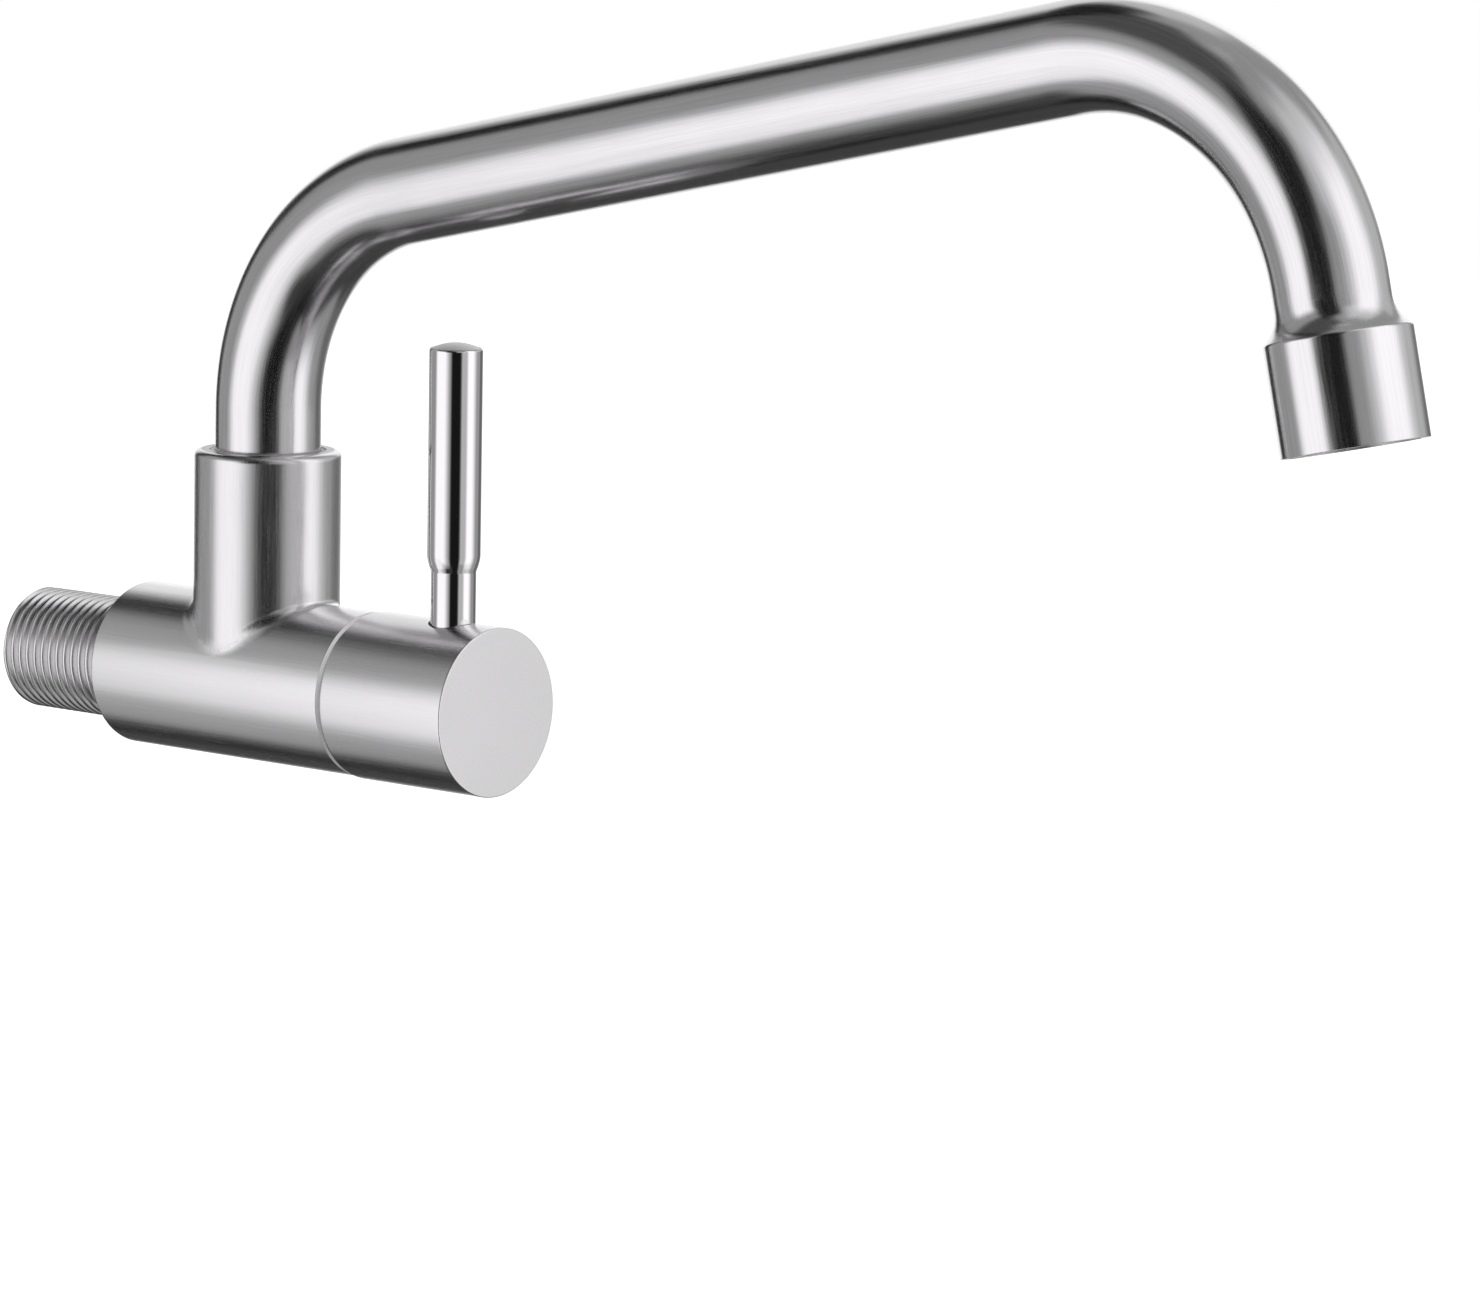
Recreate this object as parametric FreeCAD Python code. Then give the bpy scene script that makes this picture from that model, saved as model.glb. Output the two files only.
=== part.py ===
import FreeCAD, Part
import math
import os

# Wall-mounted swivel tap. Millimetres and degrees.
# The origin is on the inlet thread's axis in the wall plane, +X runs out along the barrel, +Z is up.

V = FreeCAD.Vector

# Clearances on the radius, or on a side where a comment says so
running = 0.05
snug = 0.03
film = 0.02
thread_play = 0.1
disc_play = 0.1
ring_side_play = 0.2

# How far a cutter runs past a face, and a rib's blank into the wall it grows from
over = 1.0
bite = 0.5

# Crest diameter of a G 1/2 thread, which both the inlet tail and the headwork have
thread_d = 20.955

# Inlet tail
thread_len = 26.0
thread_lead = 1.2
inlet_bore_d = 13.0
spigot_d = 17.0
spigot_len = 6.0

# Barrel
body_d = 28.0
body_len = 53.65
shoulder_cut = 0.4
front_cut = 0.45
seat_x = 14.0

# Collar that holds the spout
riser_x = 28.5
passage_d = 13.0
collar_wall = 2.5
collar_top = 39.5
collar_round = 1.2
socket_floor_wall = 2.4

# Radius of the blend at the collar's foot: broad on the barrel's sides, tight along its top
foot_broad_r = 8.0
foot_tight_r = 0.6

# Spout tube
tube_d = 18.0
tube_wall = 1.0
bend_1_z = 46.5
bend_1_r = 40.0
run_rise = 12.0
run_len = 142.0
bend_2_r = 42.0
outlet_lean = 13.0
leg_len = 2.0

# Spout tail, its seals, the split clip and the slide ring at the collar's mouth
tail_len = 18.5
tail_wall = 3.1
tail_floor_gap = 0.3
tail_spigot_len = 5.0
tail_ring_groove = 1.5
tail_ring_first = 3.0
tail_ring_pitch = 4.0
clip_w = 2.2
clip_groove = 1.4
clip_snap = 0.6
clip_from_foot = 12.0
clip_split = 40.0
slide_ring_t = 1.0
slide_ring_recess = 0.1

# Outlet nozzle
nozzle_len = 22.7
nozzle_neck = 1.0
flare_round = 5.2
flare_angle = 56.0
bell_d = 23.0
bell_wall = 1.2
bell_cut = 0.3
mouth_cut = 0.2

# Aerator, with its stack from the washer down to the honeycomb
aerator_wall = 0.6
aerator_lip = 0.6
aerator_lip_t = 1.0
aerator_recess = 0.5
aerator_len = 11.5
aerator_washer_t = 2.0
aerator_washer_w = 1.9
honeycomb_t = 3.5
honeycomb_cell = 2.05
honeycomb_web = 0.45
honeycomb_rim = 0.6
screen_count = 2
screen_t = 0.4
screen_rim = 0.8
screen_hole = 2.4
screen_web = 0.6
screen_gap = 0.05
diffuser_plate_t = 2.0
diffuser_wall = 1.2
diffuser_slots = 12
diffuser_slot_w = 1.2
diffuser_slot_in = 4.0
diffuser_slot_out = 7.0

# Headwork
headwork_thread_len = 13.0
headwork_washer_t = 1.0
flange_step = 1.5
flange_t = 2.0
hex_af = 19.0
hex_len = 5.0
cage_d = 18.4
cage_wall = 1.4
cage_depth = 16.8
window_len = 5.5
window_w = 9.0
seal_bore_d = 11.5
seal_inset = 0.4
seal_t = 2.2
seal_step = 0.8

# Ceramic discs and their two sector ports
fixed_disc_t = 3.5
disc_key_w = 4.0
moving_disc_t = 3.0
port_in_r = 2.0
port_inset = 0.15
port_angle = 80.0

# Spindle, its seals and its clip
spindle_d = 8.9
drive_bar_w = 5.0
drive_bar_t = 3.0
tongue_depth = 1.4
tongue_end_play = 0.1
tongue_in_r = 3.0
tongue_edge = 1.0
tongue_w = 3.6
stop_collar_d = 12.0
stop_collar_t = 2.4
stop_lug_angle = 44.0
stop_play_angle = 0.5
thrust_washer_t = 0.5
spindle_ring_groove = 1.2
spindle_ring_first = 4.0
spindle_ring_pitch = 5.0
spindle_clip_d = 12.0
spindle_clip_t = 1.0
spindle_clip_groove = 1.1
spindle_clip_split = 70.0
spline_teeth = 20
spline_tip_d = 8.0
spline_depth = 0.4
spline_lead = 0.55
spline_spare = 3.0

# Handle cap and its splined bush
handle_turn = 90.0
cap_proud = 0.25
cap_gap = 0.25
cap_len = 27.6
cap_wall = 1.25
cap_rear_cut = 0.6
cap_face_cut = 0.4
cap_bore_spare = 1.5
insert_d = 10.0
insert_len = 11.0

# Lever and the screw opposite it
lever_from_face = 10.0
neck_d = 7.6
neck_seat_depth = 2.25
neck_play = 0.35
neck_len = 8.5
stud_d = 6.0
stud_end_gap = 0.5
grip_d = 9.0
grip_foot_step = 0.4
grip_foot_facet = 0.8
grip_foot_taper = 1.4
grip_len = 38.35
crown = 1.0
crown_flat_d = 3.0
grub_d = 5.0
grub_len = 6.0
grub_socket_af = 2.5
grub_socket_depth = 3.0

# Corners around a seal's section
ring_sides = 6

# Radii and diameters that follow from the fits
body_r = body_d / 2
tube_r = tube_d / 2
tube_in_r = tube_r - tube_wall
socket_r = tube_r + slide_ring_t
collar_r = socket_r + collar_wall
tail_r = socket_r - thread_play
tail_ring_in = tail_r - tail_ring_groove
tail_ring_out = socket_r - snug
tail_ring_w = tail_ring_out - tail_ring_in
bell_r = bell_d / 2
bell_in_r = bell_r - bell_wall
aerator_r = bell_in_r - thread_play
stack_r = aerator_r - aerator_wall - snug
chamber_r = thread_d / 2 + thread_play
flange_r = body_r - flange_step
cage_r = cage_d / 2
cage_in_r = cage_r - cage_wall
disc_r = cage_in_r - disc_play
port_out_r = seal_bore_d / 2 - port_inset
spindle_r = spindle_d / 2
spindle_bore_r = spindle_r + running
spindle_ring_in = spindle_r - spindle_ring_groove
spindle_ring_out = spindle_bore_r - film
spindle_ring_w = spindle_ring_out - spindle_ring_in
cap_r = body_r + cap_proud
cap_in_r = cap_r - cap_wall
insert_r = insert_d / 2

# Places along the barrel, from the wall outwards
cage_x = seat_x + seal_t
fixed_disc_x = cage_x + seal_step
fixed_disc_end_x = fixed_disc_x + fixed_disc_t
moving_disc_x = fixed_disc_end_x + film
drive_bar_x = moving_disc_x + moving_disc_t
cage_end_x = cage_x + cage_depth
thrust_washer_x = cage_end_x - thrust_washer_t
stop_collar_end_x = thrust_washer_x - film
stop_collar_x = stop_collar_end_x - stop_collar_t
spindle_ring_xs = [cage_end_x + spindle_ring_first + i * spindle_ring_pitch for i in range(2)]
flange_x = body_len + headwork_washer_t
headwork_thread_x = flange_x - headwork_thread_len
hex_x = flange_x + flange_t
hex_end_x = hex_x + hex_len
spindle_clip_x = hex_end_x + running
spindle_clip_end_x = spindle_clip_x + spindle_clip_t
cap_x = body_len + cap_gap
face_x = cap_x + cap_len
cap_bore_end_x = spindle_clip_end_x + cap_bore_spare
insert_end_x = cap_bore_end_x + insert_len
spline_x = spindle_clip_end_x + spline_lead
spline_end_x = insert_end_x - spline_spare
lever_x = face_x - lever_from_face

# Heights up the collar and up the lever
socket_floor = chamber_r + socket_floor_wall
tail_z = socket_floor + tail_floor_gap
tail_ring_zs = [tail_z + tail_ring_first + i * tail_ring_pitch for i in range(2)]
clip_z = tail_z + clip_from_foot
tube_foot_z = tail_z + tail_len
neck_seat_z = cap_r - neck_seat_depth
neck_top_z = cap_r + neck_len
lever_top_z = neck_top_z + grip_len

# Distances down the last leg, from the weld between tube and nozzle
aerator_end = nozzle_len - aerator_recess
aerator_top = aerator_end - aerator_len
aerator_seat = aerator_top - aerator_washer_t
honeycomb_end = aerator_end - aerator_lip_t
honeycomb_top = honeycomb_end - honeycomb_t
screen_pitch = screen_t + screen_gap
screens_top = honeycomb_top - screen_count * screen_pitch


def profile_face(corners):
    """Face in the XZ plane from corners (radius, height, size, shape).

    The size trims a corner: a cut takes that much off both sides, and an arc has that radius.
    """
    count = len(corners)
    points = [V(corner[0], 0, corner[1]) for corner in corners]
    entries = []
    exits = []
    trims = []
    for i in range(count):
        here = points[i]
        size = corners[i][2] if len(corners[i]) > 2 else 0
        rounded = len(corners[i]) > 3
        back = points[i - 1] - here
        ahead = points[(i + 1) % count] - here
        half = back.getAngle(ahead) / 2
        reach = size / math.tan(half) if rounded else size
        reach = min(reach, 0.49 * min(back.Length, ahead.Length))
        entry = here + back.normalize() * reach
        leave = here + ahead.normalize() * reach
        trim = None
        if reach > 0 and rounded:
            radius = reach * math.tan(half)
            deep = (back + ahead).normalize() * (radius / math.sin(half) - radius)
            trim = Part.Arc(entry, here + deep, leave).toShape()
        elif reach > 0:
            trim = Part.LineSegment(entry, leave).toShape()
        entries.append(entry)
        exits.append(leave)
        trims.append(trim)
    edges = []
    for i in range(count):
        if trims[i] is not None:
            edges.append(trims[i])
        edges.append(Part.LineSegment(exits[i], entries[(i + 1) % count]).toShape())
    return Part.Face(Part.Wire(edges))


def turned(corners):
    """Solid turned about Z from the corners of its profile."""
    return profile_face(corners).revolve(V(0, 0, 0), V(0, 0, 1), 360)


def rod(radius, low, high):
    return Part.makeCylinder(radius, high - low, V(0, 0, low))


def ring(inner, outer, low, high):
    return turned([(inner, low), (outer, low), (outer, high), (inner, high)])


def wedge(inner, outer, low, high, middle, width):
    """Sector of a ring, centred on the angle middle and width degrees wide."""
    corners = [(inner, low), (outer, low), (outer, high), (inner, high)]
    solid = profile_face(corners).revolve(V(0, 0, 0), V(0, 0, 1), width)
    return solid.rotate(V(0, 0, 0), V(0, 0, 1), middle - width / 2)


def block(x_size, y_size, low, high, x_middle=0.0, y_middle=0.0):
    corner = V(x_middle - x_size / 2, y_middle - y_size / 2, low)
    return Part.makeBox(x_size, y_size, high - low, corner)


def polygon_prism(radii, low, high, first_angle=0.0):
    """Prism whose corners stand at equal angles on the given radii."""
    step = 360.0 / len(radii)
    points = []
    for i, radius in enumerate(radii):
        angle = math.radians(first_angle + i * step)
        points.append(V(radius * math.cos(angle), radius * math.sin(angle), low))
    face = Part.Face(Part.makePolygon(points + points[:1]))
    return face.extrude(V(0, 0, high - low))


def hex_prism(across_flats, low, high):
    return polygon_prism([across_flats / 2 / math.cos(math.radians(30))] * 6, low, high)


def spline(extra, low, high):
    """Toothed rod, larger than the spindle's by a radial clearance."""
    tip = spline_tip_d / 2 + extra
    return polygon_prism([tip, tip - spline_depth] * spline_teeth, low, high)


def seal_ring(inner, outer, low):
    """Seal of polygonal section between two radii, with its lower side at the height low."""
    half = (outer - inner) / 2
    reach = half / math.cos(math.pi / ring_sides)
    corners = []
    for i in range(ring_sides):
        angle = 2 * math.pi * (i + 0.5) / ring_sides
        corners.append((inner + half + reach * math.cos(angle), low + half + reach * math.sin(angle)))
    return turned(corners)


def split_ring(inner, outer, low, high, split):
    return wedge(inner, outer, low, high, 0, 360 - split)


def grooved(solid, inner, outer, lows, width):
    """The solid with a groove cut in from the radius outer at each height."""
    for low in lows:
        solid = solid.cut(ring(inner, outer + over, low, low + width))
    return solid


def along_barrel(shape):
    """Turn a piece made about Z so that Z runs out along the barrel and X points up."""
    turn = FreeCAD.Rotation(V(0, 0, 1), V(0, -1, 0), V(1, 0, 0), "ZXY")
    shape.Placement = FreeCAD.Placement(V(0, 0, 0), turn)
    return shape


def up_riser(shape):
    return shape.translate(V(riser_x, 0, 0))


def spout_walk(radius):
    """Rod along the spout's centre line, with the point where it ends and the heading there."""
    second_turn = 90 + run_rise - outlet_lean
    at = V(riser_x, 0, tube_foot_z)
    heading = 90.0
    pieces = []
    steps = [
        (bend_1_z - tube_foot_z, 0, 0),
        (0, bend_1_r, 90 - run_rise),
        (run_len, 0, 0),
        (0, bend_2_r, second_turn),
        (leg_len, 0, 0),
    ]
    for length, bend_r, turn in steps:
        angle = math.radians(heading)
        forward = V(math.cos(angle), 0, math.sin(angle))
        disc = Part.Face(Part.Wire(Part.makeCircle(radius, at, forward)))
        if turn == 0:
            pieces.append(disc.extrude(forward * length))
            at = at + forward * length
            continue
        centre = at + V(forward.z, 0, -forward.x) * bend_r
        pieces.append(disc.revolve(centre, V(0, 1, 0), turn))
        heading = heading - turn
        angle = math.radians(heading)
        at = centre - V(math.sin(angle), 0, -math.cos(angle)) * bend_r
    whole = pieces[0].multiFuse(pieces[1:]).removeSplitter()
    return whole, at, heading


def on_outlet(shape):
    """Place a piece made about Z so that Z runs out along the spout's last leg."""
    _, at, heading = spout_walk(tube_r)
    shape.Placement = FreeCAD.Placement(at, FreeCAD.Rotation(V(0, 1, 0), 90 - heading))
    return shape


def inlet_nipple():
    thread_r = thread_d / 2
    bore_r = inlet_bore_d / 2
    spigot_r = spigot_d / 2
    return along_barrel(turned([
        (bore_r, -thread_len),
        (thread_r - thread_lead, -thread_len),
        (thread_r, thread_lead - thread_len),
        (thread_r, 0),
        (spigot_r, 0),
        (spigot_r, spigot_len),
        (bore_r, spigot_len),
    ]))


def is_foot(edge):
    """True for an edge where the collar's side meets the barrel's side."""
    first, last = edge.ParameterRange
    for step in range(5):
        at = edge.valueAt(first + (last - first) * step / 4)
        off_collar = math.hypot(at.x - riser_x, at.y) - collar_r
        off_barrel = math.hypot(at.y, at.z) - body_r
        if at.z < 0 or max(abs(off_collar), abs(off_barrel)) > 0.001:
            return False
    return True


def blend_foot(shell):
    """Blend the collar into the barrel a quarter at a time, from tight along its top to broad at its sides."""
    reach = body_len + collar_top
    quarters = []
    for x in (riser_x - reach, riser_x):
        for y in (-reach, 0):
            quarter = shell.common(Part.makeBox(reach, reach, 2 * reach, V(x, y, -reach)))
            for edge in filter(is_foot, quarter.Edges):
                start, end = [abs(edge.valueAt(at).y) for at in edge.ParameterRange]
                radii = (foot_broad_r, foot_tight_r) if start > end else (foot_tight_r, foot_broad_r)
                quarter = quarter.makeFillet(*radii, [edge])
            quarters.append(quarter)
    return quarters[0].fuse(quarters[1:]).removeSplitter()


def body_shell():
    barrel = along_barrel(turned([
        (0, 0),
        (body_r, 0, shoulder_cut),
        (body_r, body_len, front_cut),
        (0, body_len),
    ]))
    collar = up_riser(turned([
        (0, 0),
        (collar_r, 0),
        (collar_r, collar_top, collar_round, "round"),
        (0, collar_top),
    ]))
    shell = blend_foot(barrel.fuse(collar))
    hollows = [
        along_barrel(rod(spigot_d / 2 + snug, -over, spigot_len)),
        along_barrel(rod(inlet_bore_d / 2, -over, seat_x + over)),
        along_barrel(rod(chamber_r, seat_x, body_len + over)),
        up_riser(rod(passage_d / 2, 0, socket_floor + over)),
        up_riser(rod(socket_r, socket_floor, collar_top + over)),
        up_riser(rod(socket_r + clip_snap, clip_z - running, clip_z + clip_w + running)),
    ]
    for hollow in hollows:
        shell = shell.cut(hollow)
    return shell


def seat_seal():
    bore_r = seal_bore_d / 2
    return along_barrel(turned([
        (bore_r, seat_x),
        (cage_r - seal_inset, seat_x),
        (cage_r - seal_inset, cage_x),
        (cage_in_r - snug, cage_x),
        (cage_in_r - snug, fixed_disc_x),
        (bore_r, fixed_disc_x),
    ]))


def ports(low, high):
    """Cutters for the two sector ports, above and below the axis."""
    return [wedge(port_in_r, port_out_r, low - over, high + over, middle, port_angle) for middle in (0, 180)]


def tongues(extra, low, high):
    """The two tongues that drive the moving disc, or the cutters of their slots."""
    outer = disc_r - tongue_edge
    length = outer - tongue_in_r + 2 * extra
    middle = (outer + tongue_in_r) / 2
    first, second = [block(tongue_w + 2 * extra, length, low, high, 0, side * middle) for side in (-1, 1)]
    return first.fuse(second)


def fixed_disc():
    disc = rod(disc_r, fixed_disc_x, fixed_disc_end_x)
    keys = block(disc_key_w, 2 * cage_r, fixed_disc_x, fixed_disc_end_x)
    keys = keys.common(rod(cage_r - disc_play, fixed_disc_x, fixed_disc_end_x))
    disc = disc.fuse(keys).cut(ports(fixed_disc_x, fixed_disc_end_x))
    return along_barrel(disc.removeSplitter())


def moving_disc():
    disc = rod(disc_r, moving_disc_x, drive_bar_x).cut(ports(moving_disc_x, drive_bar_x))
    slots = tongues(snug, drive_bar_x - tongue_depth - tongue_end_play, drive_bar_x + over)
    return along_barrel(disc.cut(slots))


def stop_ribs():
    """The two ribs between which the spindle's lugs turn."""
    rib_angle = 180 - handle_turn - stop_lug_angle - 2 * stop_play_angle
    first_middle = 90 + stop_lug_angle / 2 + stop_play_angle + rib_angle / 2
    inner = stop_collar_d / 2 + disc_play
    ribs = []
    for middle in (first_middle, first_middle + 180):
        ribs.append(wedge(inner, cage_in_r + bite, stop_collar_x, cage_end_x + bite, middle, rib_angle))
    return ribs


def cartridge_body():
    cage = turned([
        (cage_in_r, cage_x),
        (cage_r, cage_x),
        (cage_r, headwork_thread_x),
        (thread_d / 2, headwork_thread_x),
        (thread_d / 2, flange_x),
        (flange_r, flange_x),
        (flange_r, hex_x),
        (spindle_bore_r, hex_x),
        (spindle_bore_r, cage_end_x),
        (cage_in_r, cage_end_x),
    ])
    hex_top = hex_prism(hex_af, hex_x, hex_end_x).cut(rod(spindle_bore_r, hex_x - over, hex_end_x + over))
    solid = cage.multiFuse([hex_top] + stop_ribs())
    window_x = riser_x - window_len / 2
    window = block(2 * thread_d, window_w, window_x, window_x + window_len)
    notch_w = disc_key_w + 2 * disc_play
    notch = block(notch_w, 2 * thread_d, cage_x - over, fixed_disc_end_x)
    return along_barrel(solid.cut(window).cut(notch).removeSplitter())


def cartridge_washer():
    return along_barrel(ring(chamber_r, flange_r, body_len, flange_x))


def thrust_washer():
    return along_barrel(ring(spindle_bore_r, stop_collar_d / 2, thrust_washer_x, cage_end_x))


def spindle():
    bar_end_x = drive_bar_x + drive_bar_t
    bar = block(drive_bar_w, 2 * cage_in_r, drive_bar_x, bar_end_x)
    bar = bar.common(rod(disc_r, drive_bar_x, bar_end_x))
    pieces = [
        tongues(0, drive_bar_x - tongue_depth, drive_bar_x + bite),
        rod(spindle_r, drive_bar_x, spline_x),
        rod(stop_collar_d / 2, stop_collar_x, stop_collar_end_x),
        wedge(spindle_r - bite, disc_r, stop_collar_x, stop_collar_end_x, 90, stop_lug_angle),
        wedge(spindle_r - bite, disc_r, stop_collar_x, stop_collar_end_x, 270, stop_lug_angle),
        spline(0, spline_x - bite, spline_end_x),
    ]
    solid = bar.multiFuse(pieces).removeSplitter()
    groove_w = spindle_ring_w + 2 * ring_side_play
    solid = grooved(solid, spindle_ring_in, spindle_r, spindle_ring_xs, groove_w)
    clip_r = spindle_r - spindle_clip_groove
    solid = grooved(solid, clip_r, spindle_r, [spindle_clip_x - snug], spindle_clip_t + 2 * snug)
    return along_barrel(solid)


def spindle_o_rings():
    rings = []
    for x in spindle_ring_xs:
        rings.append(along_barrel(seal_ring(spindle_ring_in, spindle_ring_out, x + ring_side_play)))
    return Part.makeCompound(rings)


def spindle_clip():
    inner = spindle_r - spindle_clip_groove + snug
    outer = spindle_clip_d / 2
    return along_barrel(split_ring(inner, outer, spindle_clip_x, spindle_clip_end_x, spindle_clip_split))


def handle_cap():
    bush_r = insert_r + snug
    solid = along_barrel(turned([
        (cap_in_r, cap_x),
        (cap_r, cap_x, cap_rear_cut),
        (cap_r, face_x, cap_face_cut),
        (0, face_x),
        (0, insert_end_x),
        (bush_r, insert_end_x),
        (bush_r, cap_bore_end_x),
        (cap_in_r, cap_bore_end_x),
    ]))
    neck_hole = rod(neck_d / 2 + neck_play, neck_seat_z, cap_r + over)
    stud_hole = rod(stud_d / 2 + snug, 0, neck_seat_z + over)
    grub_hole = rod(grub_d / 2 + snug, -cap_r - over, 0)
    for hole in (neck_hole, stud_hole, grub_hole):
        solid = solid.cut(hole.translate(V(lever_x, 0, 0)))
    return solid


def spline_insert():
    bush = rod(insert_r, cap_bore_end_x, insert_end_x)
    return along_barrel(bush.cut(spline(snug, cap_bore_end_x - over, insert_end_x + over)))


def lever():
    grip_r = grip_d / 2
    stud_end_z = insert_r + stud_end_gap
    facet_top_z = neck_top_z + grip_foot_facet
    bar = turned([
        (0, stud_end_z),
        (stud_d / 2, stud_end_z),
        (stud_d / 2, neck_seat_z),
        (neck_d / 2, neck_seat_z),
        (neck_d / 2, neck_top_z),
        (grip_r - grip_foot_step, facet_top_z),
        (grip_r, facet_top_z + grip_foot_taper),
        (grip_r, lever_top_z - crown),
        (crown_flat_d / 2, lever_top_z),
        (0, lever_top_z),
    ])
    return bar.translate(V(lever_x, 0, 0))


def grub_screw():
    top = -insert_r - film
    low = top - grub_len
    screw = rod(grub_d / 2, low, top).cut(hex_prism(grub_socket_af, low - over, low + grub_socket_depth))
    return screw.translate(V(lever_x, 0, 0))


def spout_tube():
    outer, _, _ = spout_walk(tube_r)
    inner, _, _ = spout_walk(tube_in_r)
    return outer.cut(inner)


def spout_tail():
    inner = tail_r - tail_wall
    spigot_r = tube_in_r - snug
    spigot_top_z = tube_foot_z + tail_spigot_len
    solid = turned([
        (inner, tail_z),
        (tail_r, tail_z),
        (tail_r, tube_foot_z),
        (spigot_r, tube_foot_z),
        (spigot_r, spigot_top_z),
        (inner, spigot_top_z),
    ])
    solid = grooved(solid, tail_ring_in, tail_r, tail_ring_zs, tail_ring_w + 2 * ring_side_play)
    solid = grooved(solid, tail_r - clip_groove, tail_r, [clip_z - snug], clip_w + 2 * snug)
    return up_riser(solid)


def spout_o_rings():
    rings = [up_riser(seal_ring(tail_ring_in, tail_ring_out, z + ring_side_play)) for z in tail_ring_zs]
    return Part.makeCompound(rings)


def retaining_clip():
    inner = tail_r - clip_groove + snug
    outer = socket_r + clip_snap - running
    return up_riser(split_ring(inner, outer, clip_z, clip_z + clip_w, clip_split))


def slide_ring():
    return up_riser(ring(tube_r + snug, socket_r - running, tube_foot_z, collar_top - slide_ring_recess))


def outlet_nozzle():
    slope = math.radians(flare_angle)
    flare_foot = nozzle_neck + flare_round * math.tan(slope / 2)
    shoulder = flare_foot + (bell_r - tube_r) / math.tan(slope)
    return on_outlet(turned([
        (tube_in_r, 0),
        (tube_r, 0),
        (tube_r, flare_foot, flare_round, "arc"),
        (bell_r, shoulder, bell_cut),
        (bell_r, nozzle_len, mouth_cut),
        (bell_in_r, nozzle_len),
        (bell_in_r, aerator_seat),
        (tube_in_r, aerator_seat),
    ]))


def aerator_housing():
    inner = aerator_r - aerator_wall
    lip = inner - aerator_lip
    return on_outlet(turned([
        (inner, aerator_top),
        (aerator_r, aerator_top),
        (aerator_r, aerator_end),
        (lip, aerator_end),
        (lip, honeycomb_end),
        (inner, honeycomb_end),
    ]))


def aerator_washer():
    return on_outlet(ring(aerator_r - aerator_washer_w, aerator_r, aerator_seat, aerator_top))


def grid_points(pitch_x, pitch_y, stagger, reach):
    """Grid centres within the radius reach, with every second row moved by a share of the pitch."""
    points = []
    rows = int(reach / pitch_y) + 1
    columns = int(reach / pitch_x) + 1
    for row in range(-rows, rows + 1):
        for column in range(-columns, columns + 1):
            x = (column + (row % 2) * stagger) * pitch_x
            y = row * pitch_y
            if math.hypot(x, y) <= reach:
                points.append((x, y))
    return points


def flow_straightener():
    disc = rod(stack_r, honeycomb_top, honeycomb_end)
    corner = honeycomb_cell / 2 / math.cos(math.radians(30))
    pitch = honeycomb_cell + honeycomb_web
    reach = stack_r - honeycomb_rim - corner
    cell = polygon_prism([corner] * 6, honeycomb_top - over, honeycomb_end + over, 30)
    cells = []
    for x, y in grid_points(pitch, pitch * math.cos(math.radians(30)), 0.5, reach):
        cells.append(cell.translated(V(x, y, 0)))
    return on_outlet(disc.cut(Part.makeCompound(cells)))


def aerator_screens():
    pitch = screen_hole + screen_web
    reach = stack_r - screen_rim - screen_hole / math.sqrt(2)
    screens = []
    for i in range(screen_count):
        high = honeycomb_top - screen_gap - i * screen_pitch
        low = high - screen_t
        holes = []
        for x, y in grid_points(pitch, pitch, 0, reach):
            holes.append(block(screen_hole, screen_hole, low - over, high + over, x, y))
        screens.append(on_outlet(rod(stack_r, low, high).cut(Part.makeCompound(holes))))
    return Part.makeCompound(screens)


def aerator_diffuser():
    plate_end = aerator_top + diffuser_plate_t
    cup = rod(stack_r, aerator_top, screens_top - screen_gap)
    cup = cup.cut(rod(stack_r - diffuser_wall, plate_end, screens_top + over))
    slot_len = diffuser_slot_out - diffuser_slot_in
    slot_middle = (diffuser_slot_out + diffuser_slot_in) / 2
    slot = block(slot_len, diffuser_slot_w, aerator_top - over, plate_end + over, slot_middle)
    slots = []
    for i in range(diffuser_slots):
        slots.append(slot.copy().rotate(V(0, 0, 0), V(0, 0, 1), i * 360.0 / diffuser_slots))
    return on_outlet(cup.cut(Part.makeCompound(slots)))


makers = [
    inlet_nipple,
    body_shell,
    seat_seal,
    fixed_disc,
    moving_disc,
    cartridge_body,
    cartridge_washer,
    thrust_washer,
    spindle,
    spindle_o_rings,
    spindle_clip,
    handle_cap,
    spline_insert,
    lever,
    grub_screw,
    spout_tube,
    spout_tail,
    spout_o_rings,
    retaining_clip,
    slide_ring,
    outlet_nozzle,
    aerator_housing,
    aerator_washer,
    aerator_diffuser,
    aerator_screens,
    flow_straightener,
]

os.makedirs("parts", exist_ok=True)
for maker in makers:
    shape = maker()
    box = shape.BoundBox
    print(maker.__name__, len(shape.Solids), shape.isValid(), round(shape.Volume, 1),
          [round(value, 2) for value in (box.XMin, box.YMin, box.ZMin, box.XMax, box.YMax, box.ZMax)])
    shape.exportStep(os.path.join("parts", maker.__name__ + ".step"))
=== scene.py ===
"""Looks of a wall-mounted swivel tap, built around its fixed CAD frame.

The pieces' sizes are in millimetres, as on a drawing, and a piece becomes metres as it is placed.
The studio's sizes are in metres.
"""

import logging
import math
from dataclasses import dataclass
from enum import Enum
from typing import Callable, Iterable, Optional, Sequence

import bmesh
import bpy
from mathutils import Matrix, Vector


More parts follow.
